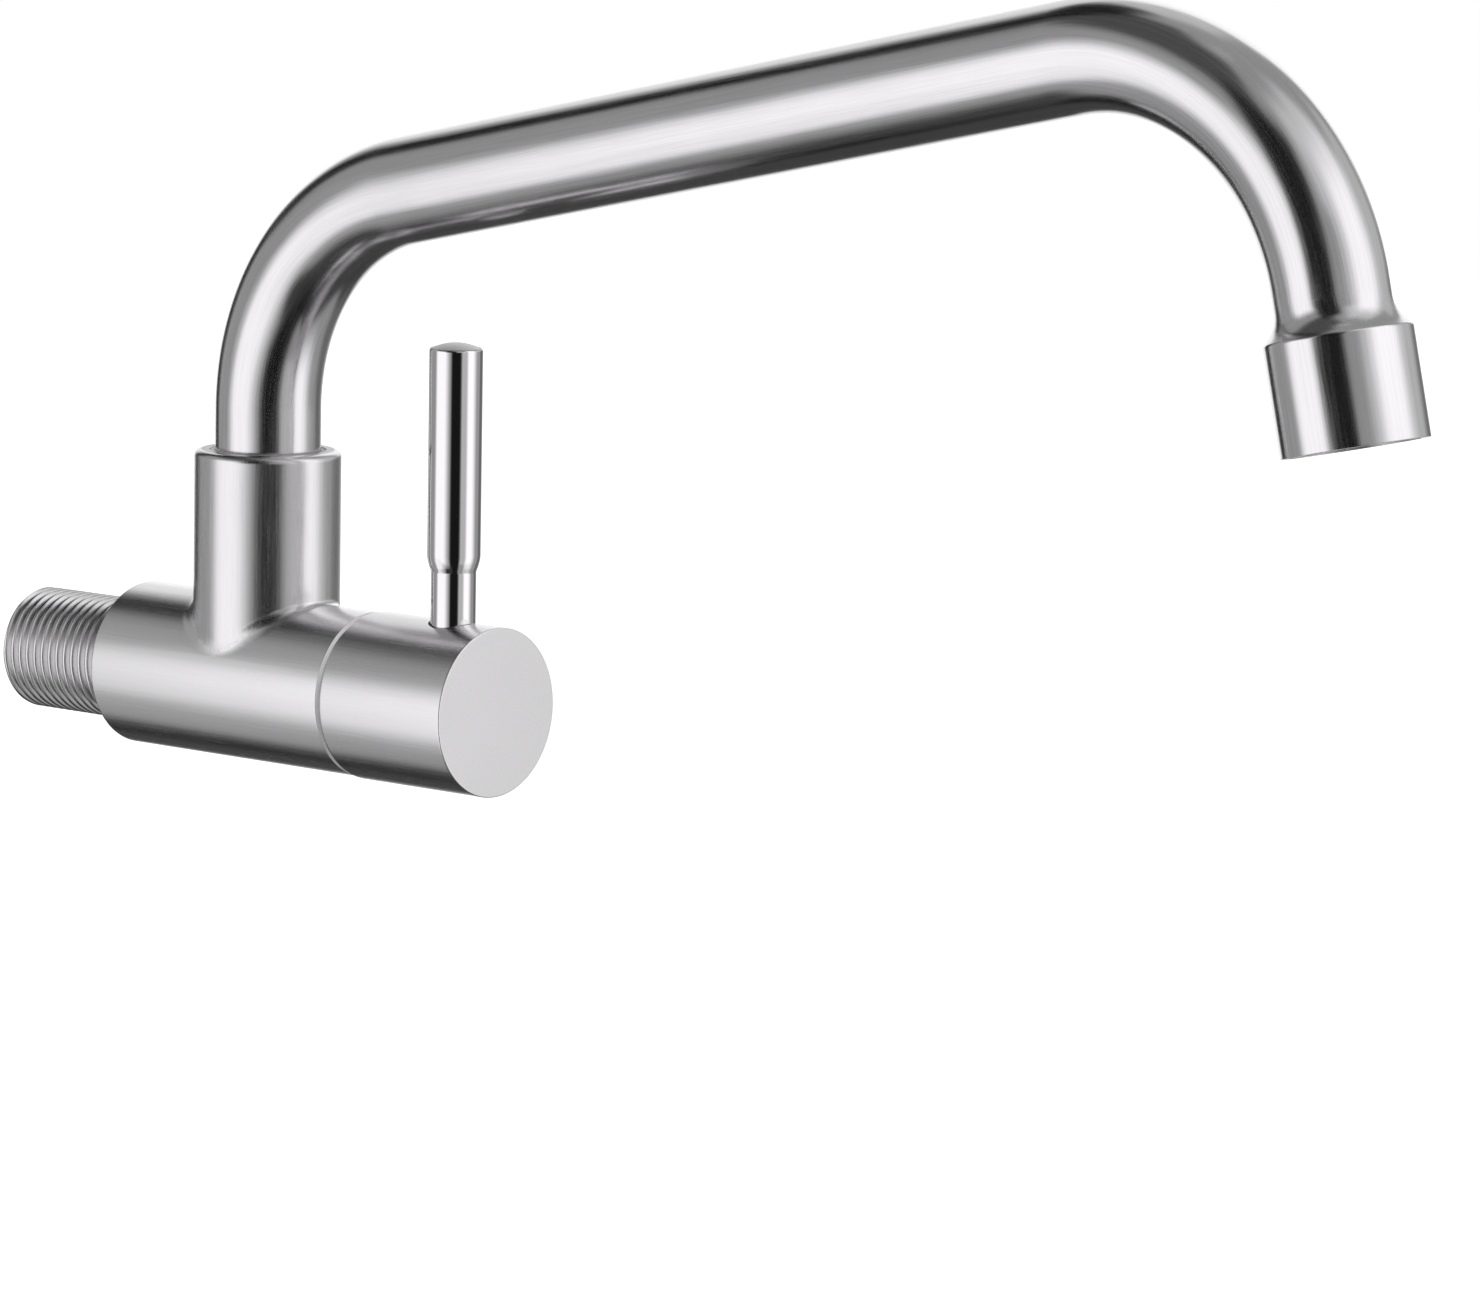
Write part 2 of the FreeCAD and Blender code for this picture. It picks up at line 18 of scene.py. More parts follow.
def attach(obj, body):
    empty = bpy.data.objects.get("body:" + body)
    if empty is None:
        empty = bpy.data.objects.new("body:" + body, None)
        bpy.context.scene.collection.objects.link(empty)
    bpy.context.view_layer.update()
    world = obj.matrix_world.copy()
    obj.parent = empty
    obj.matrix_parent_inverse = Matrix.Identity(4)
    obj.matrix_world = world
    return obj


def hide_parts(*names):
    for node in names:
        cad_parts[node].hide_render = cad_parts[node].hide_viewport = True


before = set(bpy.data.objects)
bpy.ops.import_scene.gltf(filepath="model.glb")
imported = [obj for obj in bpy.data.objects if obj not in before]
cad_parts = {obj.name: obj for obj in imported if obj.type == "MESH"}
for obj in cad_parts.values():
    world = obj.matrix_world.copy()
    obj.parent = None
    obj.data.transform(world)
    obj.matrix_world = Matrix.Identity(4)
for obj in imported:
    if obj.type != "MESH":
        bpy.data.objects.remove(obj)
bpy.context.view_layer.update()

LOG = logging.getLogger("tap")
MM = 0.001
MERGE_MM = 0.0005
SHARP_EDGE = math.radians(33)
GRAIN_PLACE = "grain_place"
GRAIN_RUN = "grain_run"
COVER = "cover"

# Steps around a turned form and a cutter, and across a corner's and an edge's rounding
TURN_STEPS = 160
ROD_STEPS = 96
ROUND_STEPS = 5
SOFT_STEPS = 3

# Sizes that several pieces share, in millimetres
RISER_X = 28.5
LEVER_X = 71.5
NECK_SEAT = 12.0
TUBE_R = 9.0
TUBE_INNER_R = 8.0

UP = Vector((0.0, 0.0, 1.0))
ORIGIN = Vector((0.0, 0.0, 0.0))
WHOLE_TURN = {"axis": UP, "cent": ORIGIN, "angle": math.tau}
ROUNDING = {"offset_type": "OFFSET", "profile": 0.5, "material": -1}

Colour = tuple[float, float, float]
Material = bpy.types.Material
Piece = bpy.types.Object
Socket = bpy.types.NodeSocket
Form = bmesh.types.BMesh
Edges = list[bmesh.types.BMEdge]
Grain = tuple[Vector, Vector]
Lay = Callable[[Vector], Grain]


# Finishes


# Noise: its roughness, the middle range of its values that a finish uses, and its finer layers
NOISE_ROUGH = 0.6
NOISE_LOW = 0.3
NOISE_HIGH = 0.7
FINE_DETAIL = 3.0
BROAD_DETAIL = 2.0

# A brushed finish: its broad lines and clouds, how far they change its look, and its relief
BROAD_WIDTH = 3.0
BROAD_ROUGH = 0.6
BROAD_HEIGHT = 2.0
BROAD_TONE = 0.7
CLOUD_TONE = 0.3
CLOUDS_PER_M = 45.0
LIGHT_TONE = 0.6
QUARTER_TURN = 0.25
STEEL_BUMP = 0.35
EDGE_SAMPLES = 6

# A plain finish: its coarse pattern over its fine one, and its bump
COARSE_WIDTH = 12
PLAIN_BUMP = 0.3


def put(node: bpy.types.Node, **values: object) -> None:
    """Set a node's inputs by name, with _ for a space."""
    for name, value in values.items():
        node.inputs[name.replace("_", " ")].default_value = value


class Nodes:
    """A material's node tree with short calls for the nodes that the finishes share."""

    def __init__(self, name: str) -> None:
        """Start a material with one Principled shader.

        Args:
            name: The material's name.
        """
        self.material = bpy.data.materials.new(name)
        self.material.use_nodes = True
        self.tree = self.material.node_tree
        self.shader = self.tree.nodes["Principled BSDF"]
        self.surface = self.tree.nodes["Material Output"].inputs["Surface"]

    def add(self, kind: str, **settings: object) -> bpy.types.Node:
        """Add a node.

        Args:
            kind: The node's type name without its ShaderNode.
            settings: Attributes to set on it.

        Returns:
            The new node.
        """
        node = self.tree.nodes.new("ShaderNode" + kind)
        for key, value in settings.items():
            setattr(node, key, value)
        return node

    def join(self, source: Socket, target: Socket) -> None:
        """Link one socket to another."""
        self.tree.links.new(source, target)

    def place(self, attribute: Optional[str], scale: Sequence[float]) -> Socket:
        """Coordinates for a pattern.

        Args:
            attribute: A vector attribute of the piece, or None for Object coordinates.
            scale: How often the pattern repeats along each axis.

        Returns:
            The scaled coordinates.
        """
        mapping = self.add("Mapping")
        put(mapping, Scale=scale)
        if attribute is None:
            self.join(self.add("TexCoord").outputs["Object"], mapping.inputs["Vector"])
        else:
            read = self.add("Attribute", attribute_name=attribute)
            self.join(read.outputs["Vector"], mapping.inputs["Vector"])
        return mapping.outputs["Vector"]

    def noise(self, where: Socket, detail: float) -> Socket:
        """Noise between 0 and 1.

        Args:
            where: Its coordinates.
            detail: How many finer layers it has.

        Returns:
            The noise.
        """
        node = self.add("TexNoise")
        put(node, Scale=1.0, Detail=detail, Roughness=NOISE_ROUGH)
        self.join(where, node.inputs["Vector"])
        return node.outputs["Fac"]

    def spread(self, value: Socket, low: float, high: float) -> Socket:
        """Map a pattern's middle range onto other values.

        Args:
            value: The pattern.
            low: What the range starts at.
            high: What the range ends at.

        Returns:
            The mapped pattern.
        """
        node = self.add("MapRange")
        put(node, From_Min=NOISE_LOW, From_Max=NOISE_HIGH, To_Min=low, To_Max=high)
        self.join(value, node.inputs["Value"])
        return node.outputs["Result"]

    def added(self, one: Socket, other: Socket) -> Socket:
        """Sum of two values.

        Args:
            one: A value.
            other: The value to add.

        Returns:
            The sum.
        """
        node = self.add("Math", operation="ADD")
        self.join(one, node.inputs[0])
        self.join(other, node.inputs[1])
        return node.outputs["Value"]

    def mixed(self, amount: Socket, one: Colour, other: Colour) -> Socket:
        """Mix two colours by a pattern.

        Args:
            amount: The pattern.
            one: The colour at 0.
            other: The colour at 1.

        Returns:
            The mixed colour.
        """
        node = self.add("Mix", data_type="RGBA")
        colours = [socket for socket in node.inputs if socket.type == "RGBA"]
        colours[0].default_value = (*one, 1.0)
        colours[1].default_value = (*other, 1.0)
        self.join(amount, node.inputs["Factor"])
        return next(socket for socket in node.outputs if socket.type == "RGBA")

    def bump(self, height: Socket, strength: float, distance: float, edge: float = 0.0) -> None:
        """Raise the surface by a pattern.

        Args:
            height: The pattern.
            strength: From 0 to 1.
            distance: The pattern's full height, in metres.
            edge: Radius at which sharp edges look rounded off, in metres.
        """
        node = self.add("Bump")
        put(node, Strength=strength, Distance=distance)
        if edge > 0.0:
            rounded = self.add("Bevel", samples=EDGE_SAMPLES)
            put(rounded, Radius=edge)
            self.join(rounded.outputs["Normal"], node.inputs["Normal"])
        self.join(height, node.inputs["Height"])
        self.join(node.outputs["Normal"], self.shader.inputs["Normal"])


def shade(colour: Colour, factor: float) -> Colour:
    """A lighter or darker version of a colour."""
    return (colour[0] * factor, colour[1] * factor, colour[2] * factor)


def grey(level: float) -> tuple[float, float, float, float]:
    """A grey's red, green, blue and alpha."""
    return (level, level, level, 1.0)


@dataclass(frozen=True)
class SteelFinish:
    """Stainless steel with fine lines that run along the piece.

    Attributes:
        name: Material name.
        colour: Colour of the reflection.
        roughness: Middle roughness.
        streaks: How far the roughness differs from line to line.
        line_mm: Width of one brush line.
        stretch: Length of a brush line over its width.
        depth: Depth of the lines, in metres.
        anisotropy: How much more the reflection spreads across the lines than along them.
        edge: Radius at which sharp edges look rounded off, in metres.
        metallic: 1 for bright metal, less for the barrel's front edge, whose pale, mostly non-metal colour
            paints a bright highlight ring there.
        tone: How far the colour differs from line to line.
    """

    name: str
    colour: Colour = (0.754, 0.74, 0.755)
    roughness: float = 0.2
    streaks: float = 0.05
    line_mm: float = 0.12
    stretch: float = 60.0
    depth: float = 2e-6
    anisotropy: float = 0.5
    edge: float = 0.0
    metallic: float = 1.0
    tone: float = 0.05

    def material(self) -> Material:
        """Build the node material.

        Returns:
            The material.
        """
        nodes = Nodes(self.name)
        fine = 1.0 / self.line_mm
        lines = nodes.place(GRAIN_PLACE, (fine, fine, fine / self.stretch))
        grain = nodes.noise(lines, FINE_DETAIL)
        wide = fine / BROAD_WIDTH
        broad = nodes.noise(nodes.place(GRAIN_PLACE, (wide, wide, wide / self.stretch)), BROAD_DETAIL)
        cloud = nodes.noise(nodes.place(None, (CLOUDS_PER_M,) * 3), BROAD_DETAIL)
        broad_streaks = BROAD_ROUGH * self.streaks
        rough = nodes.added(
            nodes.spread(grain, self.roughness - self.streaks, self.roughness + self.streaks),
            nodes.spread(broad, -broad_streaks, broad_streaks),
        )
        nodes.join(rough, nodes.shader.inputs["Roughness"])
        tone = nodes.mixed(
            nodes.added(nodes.spread(broad, 0.0, BROAD_TONE), nodes.spread(cloud, 0.0, CLOUD_TONE)),
            shade(self.colour, 1.0 - self.tone),
            shade(self.colour, 1.0 + LIGHT_TONE * self.tone),
        )
        nodes.join(tone, nodes.shader.inputs["Base Color"])
        put(nodes.shader, Metallic=self.metallic)
        put(nodes.shader, Anisotropic=self.anisotropy, Anisotropic_Rotation=QUARTER_TURN)
        run = nodes.add("Attribute", attribute_name=GRAIN_RUN)
        world = nodes.add("VectorTransform", vector_type="VECTOR")
        world.convert_from, world.convert_to = "OBJECT", "WORLD"
        nodes.join(run.outputs["Vector"], world.inputs["Vector"])
        nodes.join(world.outputs["Vector"], nodes.shader.inputs["Tangent"])
        height = nodes.added(grain, nodes.spread(broad, 0.0, BROAD_HEIGHT))
        nodes.bump(height, STEEL_BUMP, self.depth, self.edge)
        return nodes.material


@dataclass(frozen=True)
class PlainFinish:
    """A finish with no direction: cast or turned metal, ceramic, rubber or plastic.

    Attributes:
        name: Material name.
        colour: Main colour.
        second: Colour of the pattern's other end.
        metallic: 1 for metal, 0 for everything else.
        roughness: Middle roughness.
        change: How far the roughness differs from place to place.
        grain_per_m: How fine the pattern is.
        depth: Depth of the grain, in metres.
        coat: Clear gloss on top.
    """

    name: str
    colour: Colour
    second: Colour
    metallic: float = 0.0
    roughness: float = 0.5
    change: float = 0.06
    grain_per_m: float = 900.0
    depth: float = 1e-5
    coat: float = 0.0

    def material(self) -> Material:
        """Build the node material.

        Returns:
            The material.
        """
        nodes = Nodes(self.name)
        fine = nodes.noise(nodes.place(None, (self.grain_per_m,) * 3), FINE_DETAIL)
        coarse = nodes.noise(nodes.place(None, (self.grain_per_m / COARSE_WIDTH,) * 3), BROAD_DETAIL)
        nodes.join(
            nodes.mixed(nodes.spread(coarse, 0.0, 1.0), self.colour, self.second),
            nodes.shader.inputs["Base Color"],
        )
        nodes.join(
            nodes.spread(fine, self.roughness - self.change, self.roughness + self.change),
            nodes.shader.inputs["Roughness"],
        )
        put(nodes.shader, Metallic=self.metallic, Coat_Weight=self.coat)
        nodes.bump(fine, PLAIN_BUMP, self.depth)
        return nodes.material


class Finish(Enum):
    """The object's finishes."""

    TUBE = SteelFinish(
        "satin_steel_tube", roughness=0.18, streaks=0.045, depth=3e-6, anisotropy=0.45, tone=0.09
    )
    BELL = SteelFinish(
        "satin_steel_bell", roughness=0.15, streaks=0.035, depth=2e-6, anisotropy=0.4, tone=0.08
    )
    BARREL = SteelFinish(
        "satin_steel_barrel", (0.865, 0.85, 0.866), 0.24, 0.03, depth=1.2e-6, edge=0.0004, tone=0.025
    )
    CAP = SteelFinish(
        "satin_steel_cap", (0.815, 0.80, 0.816), 0.24, 0.03, depth=1.2e-6, edge=0.0004, tone=0.025
    )
    COLLAR = SteelFinish("satin_steel_collar", roughness=0.23, streaks=0.04, edge=0.0004)
    # The barrel's front edge: rough, pale and mostly non-metal, so that it shows an even light ring, which
    # is a painted highlight
    EDGE = SteelFinish("painted_highlight_edge", (0.90, 0.885, 0.90), 0.5, 0.03, anisotropy=0.0, metallic=0.2)
    FACE = SteelFinish(
        "satin_steel_face", (0.90, 0.885, 0.90), 0.33, 0.03, stretch=25.0, anisotropy=0.3
    )
    POLISHED = SteelFinish(
        "polished_steel_bar", (0.795, 0.78, 0.795), 0.06, 0.015, depth=4e-7, anisotropy=0.2, tone=0.01
    )
    TURNED = SteelFinish(
        "turned_steel", (0.70, 0.687, 0.70), 0.22, 0.03, stretch=0.1, depth=1e-6, anisotropy=0.3
    )
    DULL = SteelFinish(
        "dull_turned_steel", (0.62, 0.608, 0.62), 0.4, 0.03, stretch=0.1, depth=1e-6, anisotropy=0.3
    )
    BRASS = PlainFinish("turned_brass", (0.78, 0.60, 0.30), (0.70, 0.52, 0.25), 1.0, 0.28)
    CERAMIC = PlainFinish("lapped_ceramic", (0.90, 0.89, 0.85), (0.86, 0.85, 0.80), 0.0, 0.25, coat=0.3)
    RUBBER = PlainFinish("black_rubber", (0.022, 0.022, 0.022), (0.035, 0.034, 0.033), 0.0, 0.6)
    WHITE_NYLON = PlainFinish("white_nylon", (0.82, 0.82, 0.80), (0.76, 0.76, 0.74), 0.0, 0.42)
    GREY_NYLON = PlainFinish("grey_nylon_ring", (0.42, 0.42, 0.43), (0.37, 0.37, 0.38), 0.0, 0.4)
    SPRING = PlainFinish("drawn_spring_steel", (0.50, 0.50, 0.50), (0.44, 0.44, 0.45), 1.0, 0.3)

    def made(self) -> Material:
        """The finish's material, built once."""
        kept = bpy.data.materials.get(self.value.name)
        return kept if kept is not None else self.value.material()


# Forms


@dataclass(frozen=True)
class Corner:
    """A corner of a turned profile.

    Attributes:
        radius: Distance from the axis.
        height: Distance along the axis.
        cut: How far a rounding reaches along both sides, or 0 for a sharp corner.
    """

    radius: float
    height: float
    cut: float = 0.0


def turned(corners: Sequence[Corner], steps: int = TURN_STEPS) -> Form:
    """Spin a closed profile about Z.

    Args:
        corners: The profile's corners in order.
        steps: Faces around the axis.

    Returns:
        The turned form, in millimetres.
    """
    form = bmesh.new()
    verts = [form.verts.new((corner.radius, 0.0, corner.height)) for corner in corners]
    for one, other in zip(verts, verts[1:] + verts[:1]):
        form.edges.new((one, other))
    for vert, corner in zip(verts, corners):
        if corner.cut > 0.0:
            bmesh.ops.bevel(
                form, geom=[vert], offset=corner.cut, segments=ROUND_STEPS, affect="VERTICES", **ROUNDING
            )
    bmesh.ops.spin(form, geom=form.verts[:] + form.edges[:], steps=steps, use_merge=True, **WHOLE_TURN)
    tidy(form)
    return form


def merge(form: Form, reach: float = MERGE_MM) -> None:
    """Merge vertices that are closer together than a distance."""
    bmesh.ops.remove_doubles(form, verts=form.verts[:], dist=reach)


def edges_in(items: Iterable[object]) -> Edges:
    """The edges among what an operator gave."""
    return [item for item in items if isinstance(item, bmesh.types.BMEdge)]


def tidy(form: Form) -> None:
    """Merge doubles and turn the faces outwards.

    Args:
        form: The form.
    """
    merge(form)
    bmesh.ops.dissolve_degenerate(form, edges=form.edges[:], dist=MERGE_MM)
    bmesh.ops.recalc_face_normals(form, faces=form.faces[:])


def rod(radius: float, low: float, high: float, steps: int = ROD_STEPS) -> Form:
    """A plain cylinder about Z, used as a cutter.

    Args:
        radius: Its radius.
        low: Height of its lower end.
        high: Height of its upper end.
        steps: Faces around it.

    Returns:
        The cutter.
    """
    form = bmesh.new()
    middle = Matrix.Translation((0.0, 0.0, (low + high) / 2))
    bmesh.ops.create_cone(
        form, cap_ends=True, segments=steps, radius1=radius, radius2=radius, depth=high - low, matrix=middle
    )
    return form


def refinish(form: Form, second: Callable[[bmesh.types.BMFace], bool]) -> None:
    """Give the second finish to the faces that pass a test."""
    for face in form.faces:
        face.material_index = int(second(face))


def as_object(form: Form, name: str) -> Piece:
    """Put a form in the scene.

    Args:
        form: The form, which is freed.
        name: The object's name.

    Returns:
        The object.
    """
    mesh = bpy.data.meshes.new(name)
    form.to_mesh(mesh)
    form.free()
    piece = bpy.data.objects.new(name, mesh)
    bpy.context.scene.collection.objects.link(piece)
    return piece


def drilled(form: Form, cutters: Iterable[Form]) -> Form:
    """Cut holes in a form.

    Args:
        form: The form, which is freed.
        cutters: Closed forms to take away, which are freed.

    Returns:
        The form with its holes.
    """
    block = as_object(form, "block")
    tools = [as_object(cutter, "cutter") for cutter in cutters]
    for tool in tools:
        cut = block.modifiers.new("cut", "BOOLEAN")
        cut.operation = "DIFFERENCE"
        cut.solver = "EXACT"
        cut.object = tool
    graph = bpy.context.evaluated_depsgraph_get()
    mesh = bpy.data.meshes.new_from_object(block.evaluated_get(graph))
    result = bmesh.new()
    result.from_mesh(mesh)
    bpy.data.meshes.remove(mesh)
    for used in [block, *tools]:
        spare = used.data
        bpy.data.objects.remove(used)
        bpy.data.meshes.remove(spare)
    return result


def soften(form: Form, chosen: Callable[[Vector], bool], width: float) -> None:
    """Round the sharp edges whose both ends are chosen.

    Args:
        form: The form.
        chosen: True for a point of an edge to round.
        width: How far the rounding reaches.
    """
    edges = [
        edge
        for edge in form.edges
        if edge.calc_face_angle(0.0) > SHARP_EDGE and all(chosen(vert.co) for vert in edge.verts)
    ]
    bmesh.ops.bevel(
        form, geom=edges, offset=width, segments=SOFT_STEPS, affect="EDGES", clamp_overlap=True, **ROUNDING
    )


def straight_lay(point: Vector) -> Grain:
    """Grain of a turned piece: its place is the point itself, and it runs along Z."""
    return point.copy(), UP


def dressed(
    form: Form, name: str, finishes: Sequence[Finish], place: Matrix, lay: Lay = straight_lay
) -> Piece:
    """Make a finished piece of a form.

    Args:
        form: The form in millimetres about its own axis, which is freed.
        name: The piece's name.
        finishes: Materials in the order of the faces' indices.
        place: Where the form goes in the tap, in millimetres.
        lay: Gives the grain's place and direction at a point of the form.

    Returns:
        The piece, in metres, with its object at the origin.
    """
    where = form.verts.layers.float_vector.new(GRAIN_PLACE)
    run = form.verts.layers.float_vector.new(GRAIN_RUN)
    turn = place.to_3x3()
    for vert in form.verts:
        vert[where], direction = lay(vert.co)
        vert[run] = turn @ direction
    for edge in form.edges:
        edge.smooth = edge.calc_face_angle(math.pi) < SHARP_EDGE
    for face in form.faces:
        face.smooth = True
    form.transform(Matrix.Scale(MM, 4) @ place)
    piece = as_object(form, name)
    for finish in finishes:
        piece.data.materials.append(finish.made())
    even = piece.modifiers.new("even_shading", "WEIGHTED_NORMAL")
    even.keep_sharp = True
    LOG.info("%s: %d faces", name, len(piece.data.polygons))
    return piece


def settle(piece: Piece, body: str, slot: str, *nodes: str) -> None:
    """Make a piece stand for CAD nodes on their body.

    Args:
        piece: The piece.
        body: The CAD body that it moves with.
        slot: A material slot's name; not used.
        nodes: The CAD nodes that it replaces.
    """
    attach(piece, body)
    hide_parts(*nodes)


# Lays a form's Z axis along the barrel
ALONG_BARREL = Matrix(((0, 0, 1, 0), (0, -1, 0, 0), (1, 0, 0, 0), (0, 0, 0, 1)))


# The tap


@dataclass
class InletTail:
    """The threaded tail that screws into the wall fitting."""

    crest_r: float = 10.4775
    depth: float = 1.16
    pitch: float = 1.814
    length: float = 26.0
    lead: float = 1.2
    bore_r: float = 6.5
    spigot_r: float = 8.5
    spigot_len: float = 6.0
    steps: int = 96
    spare_turns: int = 2
    weld: float = 0.01
    cut_reach: float = 0.001
    rise: tuple[tuple[float, float], ...] = ((0.0, 1.0), (0.1, 0.8), (0.27, 0.22), (0.36, 0.05))

    def tooth(self) -> list[tuple[float, float]]:
        """A tooth's corners, each as shares of the pitch and of the depth below the crest."""
        fall = [(1.0 - share, below) for share, below in reversed(self.rise)]
        return [*self.rise, (0.5, 0.0), *fall]

    def thread(self) -> Form:
        """One turn of the thread, spun with a rise of one pitch, and its copies.

        Returns:
            The thread's skin, longer than the tail at both ends.
        """
        form = bmesh.new()
        verts = [
            form.verts.new((self.crest_r - below * self.depth, 0.0, share * self.pitch))
            for share, below in self.tooth()
        ]
        for one, other in zip(verts, verts[1:]):
            form.edges.new((one, other))
        outline = form.verts[:] + form.edges[:]
        rise = (0.0, 0.0, self.pitch / self.steps)
        bmesh.ops.spin(form, geom=outline, dvec=rise, steps=self.steps, **WHOLE_TURN)
        one_turn = form.verts[:] + form.edges[:] + form.faces[:]
        for turn in range(1, math.ceil(self.length / self.pitch) + self.spare_turns + 1):
            copied = bmesh.ops.duplicate(form, geom=one_turn)["geom"]
            verts = [item for item in copied if isinstance(item, bmesh.types.BMVert)]
            bmesh.ops.translate(form, verts=verts, vec=(0.0, 0.0, turn * self.pitch))
        merge(form, self.weld)
        start = -self.length - self.spare_turns * self.pitch
        bmesh.ops.translate(form, verts=form.verts[:], vec=(0.0, 0.0, start))
        return form

    def trim(self, form: Form, height: float, upwards: bool) -> Edges:
        """Cut the skin off at a height.

        Args:
            form: The thread's skin.
            height: Where the cut goes.
            upwards: True to throw away what is above it.

        Returns:
            The edges around the cut.
        """
        cut = bmesh.ops.bisect_plane(
            form,
            geom=form.verts[:] + form.edges[:] + form.faces[:],
            plane_co=(0.0, 0.0, height),
            plane_no=(0.0, 0.0, 1.0 if upwards else -1.0),
            clear_outer=True,
            dist=self.cut_reach,
        )
        return edges_in(cut["geom_cut"])

    def drawn(self, form: Form, rim: Edges, radius: float, height: float) -> Edges:
        """Extrude a rim to a circle of another radius and height.

        Args:
            form: The form.
            rim: The edges to extrude.
            radius: The circle's radius.
            height: The circle's height.

        Returns:
            The circle's edges.
        """
        made = bmesh.ops.extrude_edge_only(form, edges=rim)["geom"]
        for vert in (item for item in made if isinstance(item, bmesh.types.BMVert)):
            flat = Vector((vert.co.x, vert.co.y, 0.0)).normalized() * radius
            vert.co = Vector((flat.x, flat.y, height))
        return [edge for edge in edges_in(made) if len(edge.link_faces) == 1]

    def build(self) -> None:
        """Make the threaded tail with its bore and its spigot."""
        form = self.thread()
        self.trim(form, 0.0, True)
        self.trim(form, -self.length, False)
        for vert in form.verts:
            radius = math.hypot(vert.co.x, vert.co.y)
            allowed = self.crest_r - self.lead + (vert.co.z + self.length)
            if radius > allowed:
                vert.co.x *= allowed / radius
                vert.co.y *= allowed / radius
        ends = [edge for edge in form.edges if edge.is_boundary]
        front = [edge for edge in ends if edge.verts[0].co.z > -self.length / 2]
        rear = [edge for edge in ends if edge.verts[0].co.z < -self.length / 2]
        front = self.drawn(form, front, self.spigot_r, 0.0)
        front = self.drawn(form, front, self.spigot_r, self.spigot_len)
        front = self.drawn(form, front, self.bore_r, self.spigot_len)
        rear = self.drawn(form, rear, self.bore_r, -self.length)
        bmesh.ops.bridge_loops(form, edges=front + rear)
        tidy(form)
        piece = dressed(form, "inlet_thread", [Finish.TURNED], ALONG_BARREL)
        settle(piece, "body", "machined_steel", "inlet_nipple")


@dataclass
class Barrel:
    """The barrel with the collar that holds the spout."""

    collar_r: float = 12.5
    foot_reach: float = 0.25
    body_r: float = 14.0
    wall_gap: float = 0.02
    front: float = 53.65
    front_cut: float = 0.45
    top_level: float = 0.999

    def on_collar(self, point: Vector) -> bool:
        """Tell whether a point is on the collar or close round its foot.

        Args:
            point: The point.

        Returns:
            True if it is.
        """
        return (
            point.z > 0.0
            and math.hypot(point.x - RISER_X, point.y) < self.collar_r + self.foot_reach
            and math.hypot(point.y, point.z) > self.body_r + self.wall_gap
        )

    def lay(self, point: Vector) -> Grain:
        """Grain along the barrel, and up the collar.

        Args:
            point: A point of the barrel.

        Returns:
            The grain's place and direction there.
        """
        if self.on_collar(point):
            return Vector((point.x - RISER_X, point.y, point.z)), UP
        return Vector((point.y, point.z, point.x)), Vector((1.0, 0.0, 0.0))

    def build(self) -> None:
        """Make a merged, evenly shaded copy of the barrel."""
        form = bmesh.new()
        form.from_mesh(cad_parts["body_shell"].data)
        form.transform(Matrix.Scale(1.0 / MM, 4))
        merge(form)
        finishes = [Finish.BARREL, Finish.EDGE, Finish.COLLAR, Finish.DULL]
        for part in form.faces:
            middle = part.calc_center_median()
            off_axis = math.hypot(middle.y, middle.z)
            # The front edge's faces take the painted highlight ring
            if middle.x > self.front - self.front_cut and off_axis > self.body_r - self.front_cut:
                part.material_index = finishes.index(Finish.EDGE)
            elif self.on_collar(middle):
                top = part.normal.z > self.top_level
                part.material_index = finishes.index(Finish.DULL if top else Finish.COLLAR)
        piece = dressed(form, "barrel", finishes, Matrix.Identity(4), self.lay)
        settle(piece, "body", "satin_steel", "body_shell")


@dataclass
class HandleCap:
    """The round cap that turns the headwork."""

    rear: float = 53.9
    length: float = 27.6
    outer_r: float = 14.25
    inner_r: float = 13.0
    inner_cut: float = 0.15
    rear_cut: float = 0.75
    face_cut: float = 0.2
    face_tilt: float = 0.2
    bush_r: float = 5.03
    bush_rear: float = 64.2
    bush_front: float = 75.2
    neck_hole_r: float = 4.15
    stud_hole_r: float = 3.03
    grub_hole_r: float = 2.53
    hole_end: float = 1.0
    overlap: float = 0.5
    overrun: float = 2.0
    small_steps: int = 64
    rim_cut: float = 0.22
    rim_reach: float = 0.1
    rim_depth: float = 0.05

    def on_rim(self, point: Vector) -> bool:
        """Tell whether a point is on the outer edge of either hole.

        Args:
            point: The point, with Z along the cap.

        Returns:
            True if it is.
        """
        reach = self.neck_hole_r + self.rim_reach
        return (
            math.hypot(point.x, point.y) > self.outer_r - self.rim_depth
            and abs(point.z - LEVER_X) < reach
            and abs(point.y) < reach
        )

    def build(self) -> None:
        """Make the cap with its lever hole and its screw hole."""
        front = self.rear + self.length
        profile = [
            Corner(self.inner_r, self.rear, self.inner_cut),
            Corner(self.outer_r, self.rear, self.rear_cut),
            Corner(self.outer_r, front, self.face_cut),
            Corner(0.0, front),
            Corner(0.0, self.bush_front),
            Corner(self.bush_r, self.bush_front),
            Corner(self.bush_r, self.bush_rear),
            Corner(self.inner_r, self.bush_rear),
        ]
        form = turned(profile)
        upright = ALONG_BARREL.inverted() @ Matrix.Translation((LEVER_X, 0.0, 0.0))
        outside = self.outer_r + self.overrun
        cutters = [
            rod(self.neck_hole_r, NECK_SEAT, outside),
            rod(self.stud_hole_r, self.hole_end, NECK_SEAT + self.overlap, self.small_steps),
            rod(self.grub_hole_r, -outside, -self.hole_end, self.small_steps),
        ]
        for cutter in cutters:
            cutter.transform(upright)
        form = drilled(form, cutters)
        merge(form)
        soften(form, self.on_rim, self.rim_cut)
        refinish(form, lambda face: face.normal.z > self.face_tilt)
        piece = dressed(form, "handle_cap_skin", [Finish.CAP, Finish.FACE], ALONG_BARREL)
        settle(piece, "handle", "satin_steel", "handle_cap")


